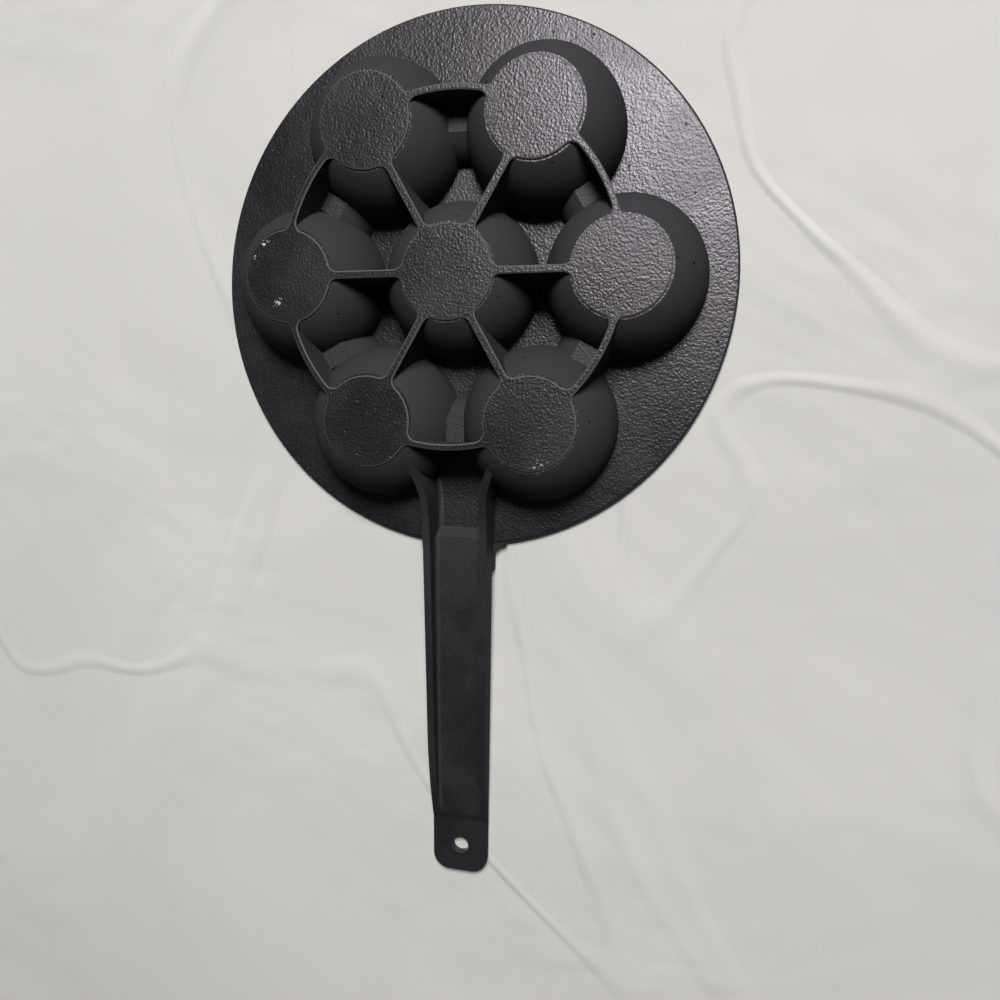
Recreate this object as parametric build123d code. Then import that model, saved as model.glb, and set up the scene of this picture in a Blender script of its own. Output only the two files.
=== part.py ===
from build123d import *
import os
from math import cos, radians, sin, tan

# Aebleskiver pan: one sand casting in iron, in its upright pose of use
# Millimetres. Z = 0 is the plane that the seven cup bottoms rest on,
# the origin lies under the middle cup and the handle runs along -Y.

# Cups: one in the middle and a ring of six around it
outer_cup_count = 6
cup_root_radius = 34.2          # outside of a cup where it leaves the plate
cup_gap = 2.6                   # between neighbouring cups at the plate
cup_neck = 1.45                 # straight part between the ball and the plate's underside
cup_wall = 3.2                  # at the mouth
cup_floor = 3.8
mouth_edge = 1.0                # bevel round each well
foot_radius = 19.5              # flat disc under each cup
foot_step = 1.1                 # height of the disc below the bowl
foot_ledge = 0.9                # width of the ledge around the disc

# Plate
plate_thickness = 4.0
plate_margin = 12.3             # from the outer cups to the rim
rim_edge_below = 1.0
rim_edge_above = 0.7

# Ribs under the plate, flush with the cup bottoms
rib_draft = 2.2                 # degrees on each side
spoke_width = 3.0               # at the lower edge
ring_width = 2.5                # at the lower edge
ring_offset = 0.8               # of the ring rib's middle, outwards from the cups' axes
rib_corner = 4.0                # rounding in plan where ribs leave a disc
rib_edge = 0.5                  # bevel of the lower edges
stub_reach = 5.6                # from a disc's rim to the end of a rib's root

# Low webs that fill the narrow gaps between neighbouring outer cups
web_depth = 14.5                # how far they stand out below the plate
web_length = 21.8               # inwards from the middle of the ring rib
web_rise = 10.0                 # length of the curved rise
web_half_width = 4.1            # wide enough to run into both cups

# Handle: a channel that is open below
handle_reach = 278.0            # from the pan's axis to the tip
handle_half_root = 14.9
handle_half_tip = 13.2
handle_wall = 3.4
handle_web = 4.0
handle_root_drop = 6.0          # of its upper face at the root, below the plate's top
handle_tip_drop = 0.5           # of its upper face at the tip, below the plate's top
handle_tip_round = 8.0
handle_flare = 32.0             # radius of the walls' outward sweep at the root
handle_flare_length = 27.2      # of the sweep, outwards from the ring rib
handle_pad = 26.0               # length of the solid end around the hole
handle_edge = 1.2               # rounding of the long upper edges
channel_corner = 2.0            # rounding between the channel's floor and walls
rim_blend = 7.0                 # rounding in plan between rim and handle
hole_diameter = 8.0
hole_from_tip = 13.0

# The handle's walls: deep at the ring rib, then nearly level, running out before the pad
wall_foot_gap = 3.0             # at the ring rib, from their lower edges to the cup bottoms
wall_rim_depth = 14.5           # below the underside of the plate, at the rim
wall_end_depth = 9.5            # below the underside of the plate, where they start to run out
wall_run_out = 47.0             # length of the run-out

# Places worked out from the sizes above: heights
ledge_radius = foot_radius + foot_ledge
widest = foot_step + (cup_root_radius**2 - ledge_radius**2) ** 0.5
underside = widest + cup_neck
top = underside + plate_thickness
rib_spread = underside * tan(radians(rib_draft))
stub_radius = foot_radius + stub_reach

# Places worked out from the sizes above: distances from the pan's axis
share = 360.0 / outer_cup_count
cup_pitch = 2 * cup_root_radius + cup_gap
cup_spacing = max(cup_pitch, cup_pitch / (2 * sin(radians(share / 2))))
ring_radius = cup_spacing + ring_offset
plate_radius = cup_spacing + cup_root_radius + plate_margin
handle_straight = ring_radius + handle_flare_length
handle_tip = -handle_reach
pad_start = handle_tip + handle_pad
slim_start = pad_start + wall_run_out


def polar(radius, angle):
    """A point in plan at a radius and an angle in degrees, 0 along +X."""
    return Vector(radius * cos(radians(angle)), radius * sin(radians(angle)), 0)


cup_angles = [-90.0 + share / 2 + share * number for number in range(outer_cup_count)]
cup_axes = [Vector(0, 0, 0)] + [polar(cup_spacing, angle) for angle in cup_angles]
cup_names = ["cup_center"] + [f"cup_{number + 1}" for number in range(outer_cup_count)]


# Cups

def filled_bowl():
    """The outside of one cup, filled: a ball with a ledge below and a straight neck above."""
    ball = Pos(0, 0, widest) * Sphere(cup_root_radius)
    lower = Solid.make_cylinder(cup_root_radius, widest - foot_step, Plane((0, 0, foot_step)))
    neck = Solid.make_cylinder(cup_root_radius, top - widest, Plane((0, 0, widest)))
    return (ball & lower) + neck


def well():
    """The hollow of one cup: half a ball, with a straight mouth if it is deep, and a bevel."""
    radius = cup_root_radius - cup_wall
    centre = cup_floor + radius
    hollow = Pos(0, 0, centre) * Sphere(radius)
    if centre < top:
        hollow += Solid.make_cylinder(radius, top - centre, Plane((0, 0, centre)))
    height = 2 * mouth_edge
    bevel = Solid.make_cone(radius - mouth_edge, radius + mouth_edge, height, Plane((0, 0, top - mouth_edge)))
    return hollow + bevel


# Ribs

def foot_disc(axis, turn):
    """The flat disc under one cup, drawn up to the plate with the ribs' draft."""
    disc = Solid.make_cone(foot_radius, foot_radius + rib_spread, underside)
    return Pos(axis) * Rot(0, 0, turn) * disc


def spoke(angle):
    """A straight rib from the middle cup to one outer cup, narrower at its lower edge."""
    low = spoke_width / 2
    high = low + rib_spread
    outline = Polyline((-low, 0), (low, 0), (high, underside), (-high, underside), close=True)
    section = Plane.YZ * make_face(outline)
    return Rot(0, 0, angle) * extrude(section, cup_spacing)


def ring():
    """The round rib through the outer cups, narrower at its lower edge."""
    low = ring_width / 2
    high = low + rib_spread
    outline = Polyline(
        (ring_radius - low, 0),
        (ring_radius + low, 0),
        (ring_radius + high, underside),
        (ring_radius - high, underside),
        close=True,
    )
    return revolve(Plane.XZ * make_face(outline), Axis.Z)


def rib_lattice():
    """All discs and ribs as one form, its corners rounded and its lower edges bevelled."""
    lattice = ring()
    lattice += foot_disc(cup_axes[0], cup_angles[0])
    for angle, axis in zip(cup_angles, cup_axes[1:]):
        lattice += foot_disc(axis, angle + 180)
        lattice += spoke(angle)
    upright = [e for e in lattice.edges() if e.bounding_box().size.Z > underside / 2]
    lattice = fillet(upright, rib_corner)
    lower = [e for e in lattice.edges() if e.bounding_box().max.Z < 0.01]
    return chamfer(lower, rib_edge)


def web(angle):
    """The low web between two outer cups: a curved rise from the plate, then level to the ring rib."""
    level = underside - web_depth
    start = ring_radius - web_length
    full = start + web_rise
    with BuildPart() as rise:
        with BuildSketch(Plane.XZ):
            with BuildLine():
                RadiusArc((start, underside), (full, level), -1.4 * web_depth)
                Polyline(
                    (full, level),
                    (ring_radius, level),
                    (ring_radius, underside),
                    (start, underside),
                )
            make_face()
        extrude(amount=web_half_width, both=True)
    return Rot(0, 0, angle) * rise.part


# Plate

def plate():
    """The round plate without its cups, its rim bevelled above and below."""
    disc = Pos(0, 0, underside) * Solid.make_cylinder(plate_radius, plate_thickness)
    rim = disc.edges().filter_by(GeomType.CIRCLE).sort_by(Axis.Z)
    disc = chamfer(rim[:1], rim_edge_below)
    rim = disc.edges().filter_by(GeomType.CIRCLE).sort_by(Axis.Z)
    return chamfer(rim[-1:], rim_edge_above)


# Handle

def handle_plan(inset):
    """The handle seen from above, moved inwards by an inset: sides that narrow towards
    the tip, and an outward sweep at the root that ends under the ring rib."""
    root = handle_half_root - inset
    tip = handle_half_tip - inset
    sweep = handle_flare + inset
    run = handle_straight - ring_radius
    sweep_end = root + sweep - (sweep**2 - run**2) ** 0.5
    with BuildSketch() as outline:
        with BuildLine():
            Line((tip, handle_tip), (root, -handle_straight))
            RadiusArc((root, -handle_straight), (sweep_end, -ring_radius), sweep)
            Line((sweep_end, -ring_radius), (0, -ring_radius))
            Line((0, -ring_radius), (0, handle_tip))
            Line((0, handle_tip), (tip, handle_tip))
        make_face()
        mirror(about=Plane.YZ)
    return outline.sketch


def upper_line(drop):
    """Side view of the handle's upper face, or of a line a given depth below it."""
    start = (-plate_radius - rim_blend, top - handle_root_drop - drop)
    return Line(start, (handle_tip, top - handle_tip_drop - drop))


def handle_side():
    """Side view of the handle's outside: its walls are deep at the ring rib, then nearly
    level, and run out in a curve before the pad around the hole."""
    pad_low = top - handle_tip_drop - handle_web
    rim = (-plate_radius, underside - wall_rim_depth)
    slim = (slim_start, underside - wall_end_depth)
    level = Vector(*slim) - Vector(*rim)
    with BuildSketch(Plane.YZ) as side:
        with BuildLine():
            add(upper_line(0))
            Polyline((handle_tip, top - handle_tip_drop), (handle_tip, pad_low), (pad_start, pad_low))
            TangentArc(slim, (pad_start, pad_low), tangent=level)
            Line(rim, slim)
            TangentArc(rim, (-ring_radius, wall_foot_gap), tangent=level * -1)
            Polyline(
                (-ring_radius, wall_foot_gap),
                (-ring_radius, underside),
                (-plate_radius + rim_blend, underside),
                (-plate_radius + rim_blend, top - rim_edge_above),
                (-plate_radius, top - rim_edge_above),
            )
            TangentArc(
                (-plate_radius - rim_blend, top - handle_root_drop),
                (-plate_radius, top - rim_edge_above),
                tangent=(1, 0),
            )
        make_face()
    return side.sketch


def rim_blends():
    """Roundings in plan between the plate's rim and both sides of the handle."""
    strip = Pos(0, -plate_radius) * Rectangle(2 * handle_half_root, 4 * rim_blend)
    joined = Circle(plate_radius) + strip
    inner = [v for v in joined.vertices() if v.Y > -plate_radius - rim_blend / 2]
    inner = [v for v in inner if abs(abs(v.X) - handle_half_root) < 0.01 and v.Y < 0]
    joined = fillet(inner, rim_blend)
    low = top - handle_root_drop
    high = top - 2 * rim_edge_above
    around = Pos(0, -plate_radius) * Rectangle(6 * handle_half_root, 3 * rim_blend)
    return extrude(Pos(0, 0, low) * ((joined - Circle(plate_radius)) & around), high - low)


def channel():
    """The hollow of the handle, open below, its floor rising to the plate at the rim."""
    with BuildSketch(Plane.YZ) as side:
        with BuildLine():
            add(upper_line(handle_web))
            Polyline(
                (handle_tip, top - handle_tip_drop - handle_web),
                (handle_tip, 0),
                (-ring_radius, 0),
                (-ring_radius, underside),
                (-plate_radius + 2 * handle_web, underside),
                (-plate_radius + handle_web, top - handle_root_drop - handle_web),
                (-plate_radius - rim_blend, top - handle_root_drop - handle_web),
            )
        make_face()
    walls = extrude(handle_plan(handle_wall), top)
    return walls & extrude(side.sketch, plate_radius, both=True)


def handle():
    """The whole handle, still running into the cups, the ring rib and the plate."""
    block = extrude(handle_side(), plate_radius, both=True) & extrude(handle_plan(0), top)
    tip_edges = [e for e in block.edges() if e.bounding_box().max.Y < handle_tip + 0.1]
    corners = [e for e in tip_edges if e.bounding_box().size.Z > 1 and abs(e.center().X) > 1]
    block = fillet(corners, handle_tip_round)

    beyond = -plate_radius - rim_blend - 1
    above = [f for f in block.faces() if f.normal_at(f.center()).Z > 0.7 and f.center().Y < beyond]
    crown = [e for f in above for e in f.edges() if abs(e.center().X) > 0.1]
    block = fillet([e for e in crown if e.center().Y < beyond], handle_edge)

    hollow = channel()
    ceiling = [e for e in hollow.edges() if e.bounding_box().min.Z > underside - 3 * handle_web]
    ceiling = [e for e in ceiling if e.bounding_box().size.Y > 20 and abs(e.center().X) > handle_wall]
    body = block + rim_blends() - fillet(ceiling, channel_corner)
    eye = Cylinder(hole_diameter / 2, 2 * top)
    return body - Pos(0, handle_tip + hole_from_tip, underside) * eye


# The casting, divided where its features meet

def part_of(form, angle, near, far, half_width):
    """The piece of a form that lies along an angle, between two distances from the axis."""
    length = far - near
    window = Pos((near + far) / 2, 0, underside / 2) * Box(length, 2 * half_width, underside)
    return form & (Rot(0, 0, angle) * window)


os.makedirs("parts", exist_ok=True)
pieces = {}
lattice = rib_lattice()
bowls = [Pos(axis) * filled_bowl() for axis in cup_axes]
roots = [Pos(axis) * Solid.make_cylinder(stub_radius, underside) for axis in cup_axes]

for name, axis, bowl, root in zip(cup_names, cup_axes, bowls, roots):
    pieces[name] = bowl + (lattice & root) - Pos(axis) * well()

for number, angle in enumerate(cup_angles):
    rib = part_of(lattice, angle, foot_radius, cup_spacing - foot_radius, foot_radius / 2)
    next_cup = number + 1
    pieces[f"spoke_rib_{next_cup}"] = rib - bowls[0] - roots[0] - bowls[next_cup] - roots[next_cup]

for number, angle in enumerate(cup_angles):
    first = number + 1
    second = (number + 1) % outer_cup_count + 1
    middle = angle + share / 2
    rib = part_of(lattice, middle, ring_radius - foot_radius, plate_radius, cup_spacing / 2)
    rib = rib + web(middle)
    for cup in (first, second):
        rib = rib - bowls[cup] - roots[cup]
    pieces[f"ring_rib_{first}"] = rib

disc = plate()
pieces["cooking_plate"] = disc
for bowl in bowls:
    pieces["cooking_plate"] = pieces["cooking_plate"] - bowl

grip = handle() - disc - lattice
for bowl in bowls[1:]:
    grip = grip - bowl
pieces["handle"] = grip

for name, piece in pieces.items():
    solids = piece.solids()
    print(name, len(solids), round(sum(solid.volume for solid in solids)))
    export_step(Compound(solids) if len(solids) > 1 else solids[0], f"parts/{name}.step")
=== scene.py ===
# %% [markdown]
# # An aebleskiver pan in cast iron
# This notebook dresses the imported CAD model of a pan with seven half-round wells.
# The real pan is one sand casting. Nothing on it is painted or fitted later, so
# its whole look comes from the skin that the mould leaves and from use.
#
# The model is in metres and in the pose of use: the cups hang down to z = 0, the
# cooking side looks up along +Z, and the handle runs along -Y. The photograph shows
# the pan from below, so the main camera stands under it and looks up.

import bmesh
import bpy
from mathutils import Matrix, Vector


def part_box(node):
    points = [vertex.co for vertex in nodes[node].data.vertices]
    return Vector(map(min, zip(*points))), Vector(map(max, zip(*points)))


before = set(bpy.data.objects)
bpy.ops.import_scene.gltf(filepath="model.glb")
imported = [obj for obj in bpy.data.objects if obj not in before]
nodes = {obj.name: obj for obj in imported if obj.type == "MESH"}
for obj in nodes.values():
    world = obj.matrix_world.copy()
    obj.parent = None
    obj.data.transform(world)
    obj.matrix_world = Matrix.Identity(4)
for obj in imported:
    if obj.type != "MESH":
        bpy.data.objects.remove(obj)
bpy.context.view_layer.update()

# %% [markdown]
# ## Camera
# The photographer stood close, with the phone over the ring of cups, so the cups
# lean outwards in the picture. The values below come from a fit of the rim, the
# seven round bottoms and the handle to the photograph. Written as a position and
# two directions, they can be checked one by one.

# %% Camera
FOCAL_PIXELS = 748.4
FRAME_PIXELS = 1000
SENSOR_WIDTH = 36.0
CLOSEST_VISIBLE = 0.01
CAMERA_PLACE = Vector((-0.0935, -0.0594, -0.3004))
CAMERA_VIEW = Vector((0.2236, -0.1083, 0.9686))
CAMERA_UP = Vector((0.0383, 0.9940, 0.1023))


def camera_matrix(place, view, up):
    """A camera looks along its own -Z, with its own +Y up in the picture."""
    back = -view.normalized()
    right = up.cross(back).normalized()
    turn = Matrix((right, back.cross(right), back)).transposed()
    return Matrix.Translation(place) @ turn.to_4x4()


camera_data = bpy.data.cameras.new("camera")
camera_data.sensor_width = SENSOR_WIDTH
camera_data.lens = FOCAL_PIXELS / FRAME_PIXELS * SENSOR_WIDTH
camera_data.clip_start = CLOSEST_VISIBLE
camera = bpy.data.objects.new("camera", camera_data)
camera.matrix_world = camera_matrix(CAMERA_PLACE, CAMERA_VIEW, CAMERA_UP)
bpy.context.scene.collection.objects.link(camera)
bpy.context.scene.camera = camera
print("lens:", round(camera_data.lens, 2), "mm")

# %% [markdown]
# ## Helpers for shader nodes
# Every material below is a small graph. `add` makes a node and fills its sockets
# from numbers or from other nodes' outputs, so a graph reads like a short formula.
# The other helpers name the few steps that come back in every graph.

# %% Node helpers
def fill(tree, socket, value):
    """Link a socket to another node's output, or set it to a plain value."""
    if isinstance(value, bpy.types.NodeSocket):
        tree.links.new(value, socket)
    else:
        socket.default_value = value


def add(tree, kind, sockets=None, **settings):
    """Make a node, set its properties, then fill its input sockets."""
    node = tree.nodes.new(kind)
    for name, value in settings.items():
        setattr(node, name, value)
    for key, value in (sockets or {}).items():
        fill(tree, node.inputs[key], value)
    return node


def maths(tree, operation, first, second, clamp=False):
    """One arithmetic step between two sockets or numbers."""
    sockets = {0: first, 1: second}
    return add(tree, "ShaderNodeMath", sockets, operation=operation, use_clamp=clamp).outputs[0]


def ramp(tree, value, low, high, to_low=0.0, to_high=1.0):
    """A smooth step from one value to another between two thresholds."""
    sockets = {
        "Value": value, "From Min": low, "From Max": high,
        "To Min": to_low, "To Max": to_high,
    }
    node = add(tree, "ShaderNodeMapRange", sockets, interpolation_type="SMOOTHSTEP")
    return node.outputs["Result"]


def noise(tree, place, scale, **settings):
    """The value of a noise texture; settings are its other sockets by name."""
    sockets = {"Vector": place, "Scale": scale, **settings}
    return add(tree, "ShaderNodeTexNoise", sockets).outputs["Fac"]


def height_part(tree, vector):
    """The Z part of a vector."""
    return add(tree, "ShaderNodeSeparateXYZ", {0: vector}).outputs["Z"]


def object_place(tree):
    """Where a point lies in the object's own coordinates, in metres."""
    return add(tree, "ShaderNodeTexCoord").outputs["Object"]


def bumped(tree, height):
    """A normal that follows a height given in metres."""
    sockets = {"Height": height, "Distance": 1.0, "Strength": 1.0}
    return add(tree, "ShaderNodeBump", sockets).outputs[0]


def blend(tree, factor, first, second):
    """Mix two colours."""
    node = add(tree, "ShaderNodeMix", data_type="RGBA")
    inputs = {socket.identifier: socket for socket in node.inputs}
    fill(tree, inputs["Factor_Float"], factor)
    fill(tree, inputs["A_Color"], first)
    fill(tree, inputs["B_Color"], second)
    return next(s for s in node.outputs if s.identifier == "Result_Color")


def new_material(name):
    """An empty material; returns it with its node tree."""
    material = bpy.data.materials.new(name)
    material.use_nodes = True
    material.node_tree.nodes.clear()
    return material, material.node_tree


def new_group(name, inputs, outputs):
    """A node group with named sockets; returns it with its input and output nodes."""
    tree = bpy.data.node_groups.new(name, "ShaderNodeTree")
    kinds = {"vector": "NodeSocketVector", "value": "NodeSocketFloat"}
    for label, kind, default in inputs:
        socket = tree.interface.new_socket(label, in_out="INPUT", socket_type=kinds[kind])
        if default is not None:
            socket.default_value = default
    for label in outputs:
        tree.interface.new_socket(label, in_out="OUTPUT", socket_type=kinds["value"])
    given = tree.nodes.new("NodeGroupInput").outputs
    return tree, given, tree.nodes.new("NodeGroupOutput").inputs


def use_group(tree, group, sockets):
    """Place a node group and fill its inputs; returns its outputs."""
    return add(tree, "ShaderNodeGroup", sockets, node_tree=group).outputs


# %% [markdown]
# ## The ground on both sides
# In the photograph the pan lies face down on a pale cloth. In use it stands on its
# cups. One sheet serves each case: the cloth touches the cooking side and shows
# only from below, and the floor touches the cups and shows only from above. Both
# let every ray through except the camera's, so neither shades the pan, while each
# still catches the pan's shadow. Far from the pan both fade into the backdrop, so
# that no edge of a sheet shows behind it.
#
# The folds and creases are bump, and the valleys of the folds also carry a faint painted shade
# in the colour. A crease runs where a slow noise crosses its middle value, which gives long
# lines that wander without crossing each other.

# %% Cloth and floor
CLOTH_TONE = (0.70, 0.685, 0.66, 1)
FLOOR_TONE = (0.72, 0.715, 0.70, 1)
CLOTH_FOLDS = 0.010
FLOOR_FOLDS = 0.0005
SHEET_HALF = 2.0
SHEET_GAP = 0.0003
FADE_START, FADE_END = 0.7, 1.9
CREASE_HALF_WIDTH = 0.012
CREASE_SHARE = 0.10
WEAVE_DEPTH = 0.00004
VALLEY_SHADE = 0.95
iron_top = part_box("cooking_plate")[1].z


def seen_from_front(tree, shader):
    """Show a shader to camera rays that meet the front near the pan; the rest pass."""
    camera_ray = add(tree, "ShaderNodeLightPath").outputs["Is Camera Ray"]
    behind = add(tree, "ShaderNodeNewGeometry").outputs["Backfacing"]
    shown = maths(tree, "MULTIPLY", camera_ray, maths(tree, "SUBTRACT", 1.0, behind))
    away = add(tree, "ShaderNodeVectorMath", {0: object_place(tree)}, operation="LENGTH")
    near = ramp(tree, away.outputs["Value"], FADE_START, FADE_END, 1.0, 0.0)
    clear = add(tree, "ShaderNodeBsdfTransparent").outputs[0]
    sockets = {0: maths(tree, "MULTIPLY", shown, near), 1: clear, 2: shader}
    return add(tree, "ShaderNodeMixShader", sockets).outputs[0]


def sheet_material(name, tone, fold_depth):
    """A matt, faintly uneven textile or paper; its folds are bump, with painted shade in their
    valleys.
    """
    material, tree = new_material(name)
    place = object_place(tree)
    folds = noise(tree, place, 5.0, Detail=3.0, Distortion=1.2)
    weave = noise(tree, place, 900.0, Detail=2.0)
    slow = noise(tree, place, 2.6, Detail=2.0, Distortion=0.9)
    off_line = maths(tree, "ABSOLUTE", maths(tree, "SUBTRACT", slow, 0.5), 0.0)
    ridge = ramp(tree, off_line, CREASE_HALF_WIDTH, 0.0, 0.0, fold_depth * CREASE_SHARE)
    height = maths(tree, "ADD", maths(tree, "MULTIPLY", folds, fold_depth), ridge)
    height = maths(tree, "ADD", height, maths(tree, "MULTIPLY", weave, WEAVE_DEPTH))
    # Painted shade: the colour is a little darker in the valleys of the folds.
    shaded = tuple(VALLEY_SHADE * part for part in tone[:3]) + (1,)
    colour = blend(tree, ramp(tree, folds, 0.3, 0.7), shaded, tone)
    sockets = {"Color": colour, "Normal": bumped(tree, height), "Roughness": 0.5}
    cloth = add(tree, "ShaderNodeBsdfDiffuse", sockets).outputs[0]
    add(tree, "ShaderNodeOutputMaterial", {"Surface": seen_from_front(tree, cloth)})
    return material


def sheet(name, height, facing, material):
    """A square of ground at a height, its front looking up (+1) or down (-1)."""
    shape = bmesh.new()
    bmesh.ops.create_grid(shape, x_segments=1, y_segments=1, size=SHEET_HALF)
    bmesh.ops.translate(shape, verts=shape.verts[:], vec=(0, 0, height))
    if facing < 0:
        bmesh.ops.reverse_faces(shape, faces=shape.faces[:])
    mesh = bpy.data.meshes.new(name)
    shape.to_mesh(mesh)
    shape.free()
    mesh.materials.append(material)
    thing = bpy.data.objects.new(name, mesh)
    bpy.context.scene.collection.objects.link(thing)


cloth_height = iron_top + SHEET_GAP
sheet("cloth", cloth_height, -1, sheet_material("pale cloth", CLOTH_TONE, CLOTH_FOLDS))
sheet("floor", -SHEET_GAP, 1, sheet_material("pale floor", FLOOR_TONE, FLOOR_FOLDS))
print("cloth at", round(cloth_height, 4), "and floor at", -SHEET_GAP)

# %% [markdown]
# ## Light
# The brightness of the flat bottoms grows towards the top right of the picture,
# and the thin edges that look that way carry a bright line. Both say that the light
# is one window beyond the top edge of the frame. It stands about 60 degrees above
# the horizon of the upturned pan, because lower down it left the pockets between
# the cups in shadow. A weak glow from all around fills the rest.
#
# Two more lamps light the cooking side, which the photograph never shows. They
# stand high, so that the plate shades the cups' outer walls from them.

# %% Lamps and world
def lamp(name, place, target, size, power):
    """A soft square lamp at a place, aimed at a target."""
    data = bpy.data.lights.new(name, "AREA")
    data.shape = "RECTANGLE"
    data.size = data.size_y = size
    data.energy = power
    thing = bpy.data.objects.new(name, data)
    aim = (Vector(target) - Vector(place)).to_track_quat("-Z", "Y")
    thing.matrix_world = Matrix.Translation(Vector(place)) @ aim.to_matrix().to_4x4()
    bpy.context.scene.collection.objects.link(thing)


lamp("window", (-0.19, 0.62, -1.06), (0, 0, 0.02), 0.42, 19.5)
lamp("top key", (0.50, -0.55, 1.35), (0, -0.05, 0.02), 0.7, 19.0)
lamp("top fill", (-0.50, 0.50, 1.40), (0, -0.05, 0.02), 1.0, 11.0)

GLOW_BELOW, GLOW_ABOVE = 0.035, 0.20
BACKDROP_TONE = (0.93, 0.93, 0.92, 1)

world = bpy.data.worlds.new("room")
bpy.context.scene.world = world
world.use_nodes = True
sky = world.node_tree
sky.nodes.clear()
upward = height_part(sky, add(sky, "ShaderNodeTexCoord").outputs["Generated"])
glow = ramp(sky, upward, -0.05, 0.35, GLOW_BELOW, GLOW_ABOVE)
ambient = add(sky, "ShaderNodeBackground", {"Color": (1, 1, 1, 1), "Strength": glow})
backdrop = add(sky, "ShaderNodeBackground", {"Color": BACKDROP_TONE, "Strength": 1.0})
camera_ray = add(sky, "ShaderNodeLightPath").outputs["Is Camera Ray"]
both = {0: camera_ray, 1: ambient.outputs[0], 2: backdrop.outputs[0]}
mixed = add(sky, "ShaderNodeMixShader", both).outputs[0]
add(sky, "ShaderNodeOutputWorld", {"Surface": mixed})
bpy.context.scene.view_settings.view_transform = "Standard"

# %% [markdown]
# ## How a casting's form shows in its skin
# Flat faces that lay level in the mould keep the print of the sand. Steep walls were drawn out
# of it and rubbed smoother. This group tells the two apart by how far a face leans. It also
# finds the narrow bevels along the lower edges of the ribs, which catch every scrape and are
# painted lighter, partly as wear and partly as a painted highlight. It also finds the recess
# between the cups' bottoms and the plate, where the low webs lie and nothing ever rubs them.

# %% Group: form masks
masks, given, out = new_group(
    "Form Masks",
    [("Normal", "vector", None), ("Position", "vector", None)],
    ["Flat", "Bevel", "Recess"],
)
level = maths(masks, "ABSOLUTE", height_part(masks, given["Normal"]), 0.0)
height = height_part(masks, given["Position"])
masks.links.new(ramp(masks, level, 0.80, 0.97), out["Flat"])
low_down = ramp(masks, height, 0.0009, 0.0005)
slanted = maths(
    masks, "MULTIPLY", ramp(masks, level, 0.45, 0.6), ramp(masks, level, 0.97, 0.85)
)
masks.links.new(maths(masks, "MULTIPLY", low_down, slanted), out["Bevel"])
above_feet = ramp(masks, height, 0.005, 0.012)
below_plate = ramp(masks, height, 0.0298, 0.0290)
masks.links.new(maths(masks, "MULTIPLY", above_feet, below_plate), out["Recess"])
print("group:", masks.name)

# %% [markdown]
# ## Sand print
# Green sand has grains of a few tenths of a millimetre, and the skin they leave has
# bumps of about a millimetre where grains clump. Two noises of different size add
# up to it. The height is in metres, so it means the same at any scale.

# %% Group: sand skin
HILLS_SCALE = 260.0
HILLS_SHARE = 0.5

sand, given, out = new_group(
    "Sand Skin",
    [("Position", "vector", None), ("Clump Size", "value", 0.0010), ("Depth", "value", 0.0001)],
    ["Height", "Peaks"],
)
frequency = maths(sand, "DIVIDE", 1.0, given["Clump Size"])
clumps = noise(sand, given["Position"], frequency, Detail=1.5, Roughness=0.5)
hills = noise(sand, given["Position"], HILLS_SCALE, Detail=2.0)
fine = maths(sand, "SUBTRACT", clumps, 0.5)
broad = maths(sand, "MULTIPLY", maths(sand, "SUBTRACT", hills, 0.5), HILLS_SHARE)
relief = maths(sand, "ADD", fine, broad)
sand.links.new(maths(sand, "MULTIPLY", relief, given["Depth"]), out["Height"])
sand.links.new(ramp(sand, clumps, 0.42, 0.62), out["Peaks"])
print("group:", sand.name)

# %% [markdown]
# ## Pits
# Here and there a bubble or a loose grain leaves a pit. A cell pattern puts one
# point in each cell, a random number per cell keeps only some of them, and the
# distance to the point gives the pit's round shape.

# %% Group: pits
PIT_DEPTH = 0.00025
PIT_FLOOR_SHARE = 0.35

pits, given, out = new_group(
    "Casting Pits",
    [
        ("Position", "vector", None), ("Spacing", "value", 0.005),
        ("Radius", "value", 0.0005), ("Share", "value", 0.3),
    ],
    ["Mask", "Height"],
)
frequency = maths(pits, "DIVIDE", 1.0, given["Spacing"])
cells = add(pits, "ShaderNodeTexVoronoi", {"Vector": given["Position"], "Scale": frequency})
chance = add(pits, "ShaderNodeSeparateColor", {0: cells.outputs["Color"]}).outputs[0]
kept = maths(pits, "LESS_THAN", chance, given["Share"])
away = maths(pits, "MULTIPLY", cells.outputs["Distance"], given["Spacing"])
pit_floor = maths(pits, "MULTIPLY", given["Radius"], PIT_FLOOR_SHARE)
mask = maths(pits, "MULTIPLY", ramp(pits, away, given["Radius"], pit_floor), kept)
pits.links.new(mask, out["Mask"])
pits.links.new(maths(pits, "MULTIPLY", mask, -PIT_DEPTH), out["Height"])
print("group:", pits.name)

# %% [markdown]
# ## Rubbed specks
# Where the pan was set down on something gritty, small pale specks show. Each
# cluster has a centre and a reach. A fine noise shapes its specks, and the nearer
# the centre, the more of that noise's peaks count.

# %% Group: rubbed specks
SPECK_SCALE = 700.0
SPECK_RARITY = 0.78
SPECK_GAIN = 0.3

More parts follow.
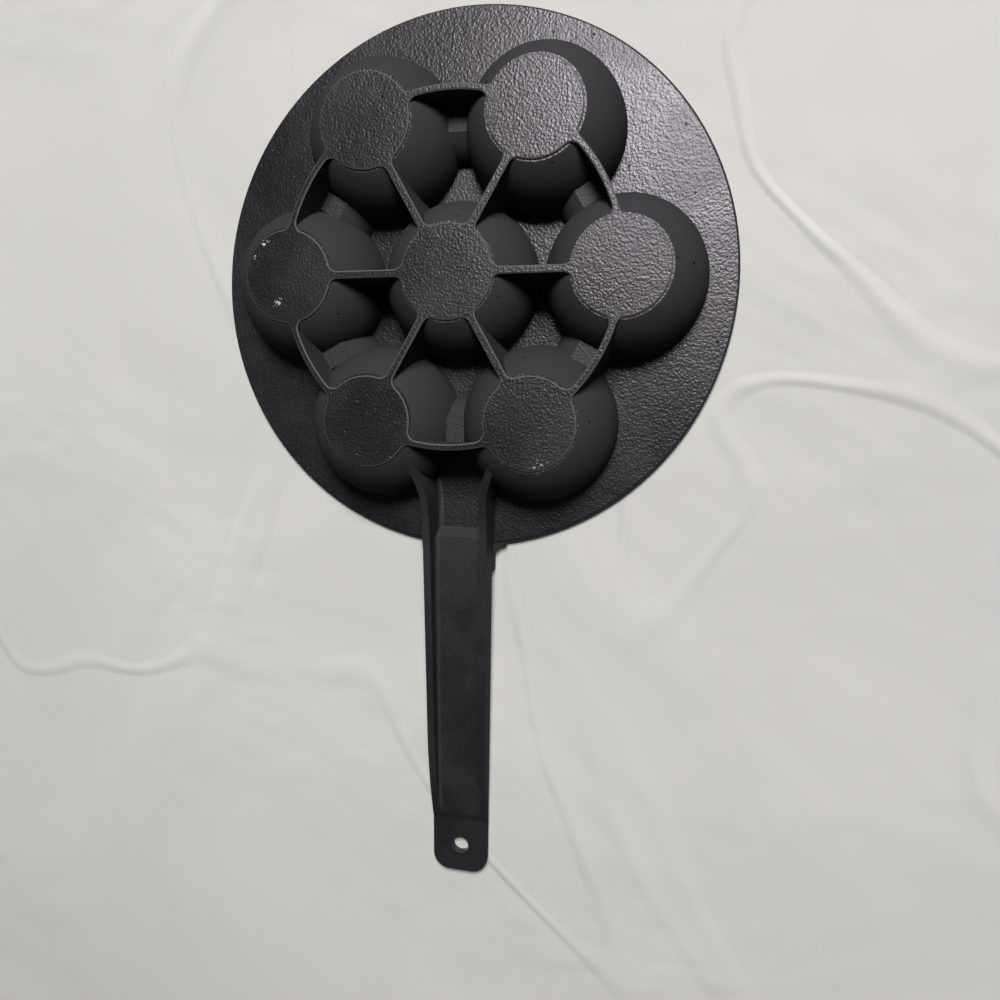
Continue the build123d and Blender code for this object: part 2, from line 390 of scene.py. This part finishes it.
specks, given, out = new_group(
    "Rubbed Specks",
    [
        ("Position", "vector", None), ("Center", "vector", None),
        ("Reach", "value", 0.008), ("Amount", "value", 0.5),
    ],
    ["Mask"],
)
ends = {0: given["Position"], 1: given["Center"]}
distance = add(specks, "ShaderNodeVectorMath", ends, operation="DISTANCE").outputs["Value"]
nearness = ramp(specks, maths(specks, "DIVIDE", distance, given["Reach"]), 1.0, 0.2)
dots = noise(specks, given["Position"], SPECK_SCALE, Detail=3.0, Roughness=0.7)
pull = maths(specks, "MULTIPLY", nearness, given["Amount"])
threshold = maths(
    specks, "SUBTRACT", SPECK_RARITY, maths(specks, "MULTIPLY", pull, SPECK_GAIN)
)
shape = ramp(specks, maths(specks, "SUBTRACT", dots, threshold), 0.0, 0.05)
specks.links.new(maths(specks, "MULTIPLY", shape, nearness), out["Mask"])
print("group:", specks.name)

# %% [markdown]
# ## Cast iron
# Oiled and baked, the skin is nearly black with a faint violet cast. The level faces keep the
# deep sand print and have a dull gloss, which is what makes their grain glitter, and the tops
# of their grains are also painted lighter as a painted glitter. The walls are smoother in form
# but duller, and slightly greyer.
#
# That dullness has a second reason. The floor lets the window's light through, so
# in views from above a glossy wall would glare as if lit from under the floor.
# Walls that scatter the light keep the photograph's tone and lose that glare.
#
# The same graph serves all pieces, with its own numbers for each family.

# %% Material: cast iron
DARK = (0.0060, 0.0056, 0.0070, 1)
LIGHT = (0.0120, 0.0110, 0.0135, 1)
HANDLE_DARK = (0.0140, 0.0145, 0.0160, 1)
HANDLE_LIGHT = (0.0220, 0.0225, 0.0245, 1)
WALL_TONE = (0.050, 0.0495, 0.054, 1)
# Painted glitter on the tops of the sand grains.
GRAIN_GLITTER_TONE = (0.034, 0.031, 0.036, 1)
# Wear and painted highlight on the bevels along the lower edges.
BEVEL_WEAR_AND_HIGHLIGHT_TONE = (0.16, 0.16, 0.165, 1)
PIT_TONE = (0.004, 0.004, 0.004, 1)
SPECK_TONE = (0.55, 0.55, 0.55, 1)
VIOLET_TINT = (1.0, 0.94, 1.0, 1)

WALL_TONE_SHARE = 0.8
GRAIN_GLITTER_SHARE = 0.25
BEVEL_WEAR_AND_HIGHLIGHT_SHARE = 0.6
PATCH_GLOSS_RANGE = 0.08
BEVEL_POLISH = 0.10
SPECK_DULLING = 0.2
WALL_SPECULAR, FLAT_SPECULAR = 0.05, 0.5
OILED_IRON_IOR = 1.60

CLUMP_SIZE = 0.0011
PIT_SPACING = 0.0055
PIT_RADIUS = 0.0007
PATCH_SCALE = 28.0


def cast_iron(name, dark, light, flat_depth, wall_depth, flat_rough, wall_rough,
              pit_share, recess_dulling, marks=()):
    """Seasoned cast iron. Depths are in metres; the rough and dulling values are roughness."""
    material, tree = new_material(name)
    place = object_place(tree)
    normal = add(tree, "ShaderNodeNewGeometry").outputs["True Normal"]
    form = use_group(tree, masks, {"Normal": normal, "Position": place})
    flat = form["Flat"]

    def times(first, second):
        return maths(tree, "MULTIPLY", first, second)

    def plus(first, second):
        return maths(tree, "ADD", first, second)

    depth = plus(wall_depth, times(flat, flat_depth - wall_depth))
    skin = use_group(tree, sand, {"Position": place, "Clump Size": CLUMP_SIZE, "Depth": depth})
    pit = {"Spacing": PIT_SPACING, "Radius": PIT_RADIUS, "Share": pit_share}
    hole = use_group(tree, pits, {"Position": place, **pit})

    patches = noise(tree, place, PATCH_SCALE, Detail=4.0, Distortion=0.6)
    patch = ramp(tree, patches, 0.32, 0.68)
    steep = times(maths(tree, "SUBTRACT", 1.0, flat), WALL_TONE_SHARE)
    # Painted glitter: the tops of the sand grains on level faces are painted lighter.
    grain_glitter = times(times(skin["Peaks"], flat), GRAIN_GLITTER_SHARE)
    colour = blend(tree, patch, dark, light)
    colour = blend(tree, steep, colour, WALL_TONE)
    colour = blend(tree, grain_glitter, colour, GRAIN_GLITTER_TONE)
    # Wear and painted highlight: the bevels along the lower edges are painted lighter.
    colour = blend(tree, times(form["Bevel"], BEVEL_WEAR_AND_HIGHLIGHT_SHARE), colour, BEVEL_WEAR_AND_HIGHLIGHT_TONE)
    colour = blend(tree, hole["Mask"], colour, PIT_TONE)

    rough = plus(wall_rough, times(flat, flat_rough - wall_rough))
    rough = plus(rough, times(maths(tree, "SUBTRACT", patch, 0.5), PATCH_GLOSS_RANGE))
    rough = maths(tree, "SUBTRACT", rough, times(form["Bevel"], BEVEL_POLISH))
    rough = plus(rough, times(form["Recess"], recess_dulling))

    for centre, reach, amount in marks:
        cluster = {"Center": centre, "Reach": reach, "Amount": amount}
        rubbed = use_group(tree, specks, {"Position": place, **cluster})["Mask"]
        colour = blend(tree, rubbed, colour, SPECK_TONE)
        rough = maths(tree, "ADD", rough, times(rubbed, SPECK_DULLING), clamp=True)

    sockets = {
        "Base Color": colour,
        "Roughness": rough,
        "Normal": bumped(tree, plus(skin["Height"], hole["Height"])),
        "Specular IOR Level": ramp(tree, flat, 0.0, 1.0, WALL_SPECULAR, FLAT_SPECULAR),
        "IOR": OILED_IRON_IOR,
        "Specular Tint": VIOLET_TINT,
    }
    iron = add(tree, "ShaderNodeBsdfPrincipled", sockets).outputs[0]
    add(tree, "ShaderNodeOutputMaterial", {"Surface": iron})
    return material


# %% [markdown]
# ## Dress the pieces
# Cups, ribs and plate come from the same pour and share their tones. The cups have
# the most pits and the rubbed specks. The ribs' low webs are dulled, because the
# photograph shows them soft and dark. The handle is smoother and a little greyer.

# %% Assign the iron
# Each mark is a centre, a reach in metres and an amount.
RUBBED = [
    ((0.0757, -0.0110, 0.0), 0.0055, 0.80),
    ((0.0812, 0.0142, 0.0), 0.0035, 0.85),
    ((0.0855, 0.0088, 0.0), 0.0035, 0.80),
    ((-0.0395, -0.0780, 0.0), 0.0090, 0.68),
]
# Depth on flats and walls, roughness on flats and walls, share of pits, dulling in recesses
families = {
    "cup": cast_iron("iron of the cups", DARK, LIGHT,
                     0.00021, 0.00008, 0.38, 0.72, 0.30, 0.0, RUBBED),
    "rib": cast_iron("iron of the ribs", DARK, LIGHT,
                     0.00021, 0.00008, 0.38, 0.72, 0.05, 0.22),
    "plate": cast_iron("iron of the plate", DARK, LIGHT,
                       0.00021, 0.00010, 0.38, 0.72, 0.24, 0.0),
    "handle": cast_iron("iron of the handle", HANDLE_DARK, HANDLE_LIGHT,
                        0.00010, 0.00010, 0.42, 0.64, 0.02, 0.0),
}
for name, node in nodes.items():
    family = next(key for key in families if key in name)
    node.data.materials.clear()
    node.data.materials.append(families[family])
print("materials:", {key: material.name for key, material in families.items()})
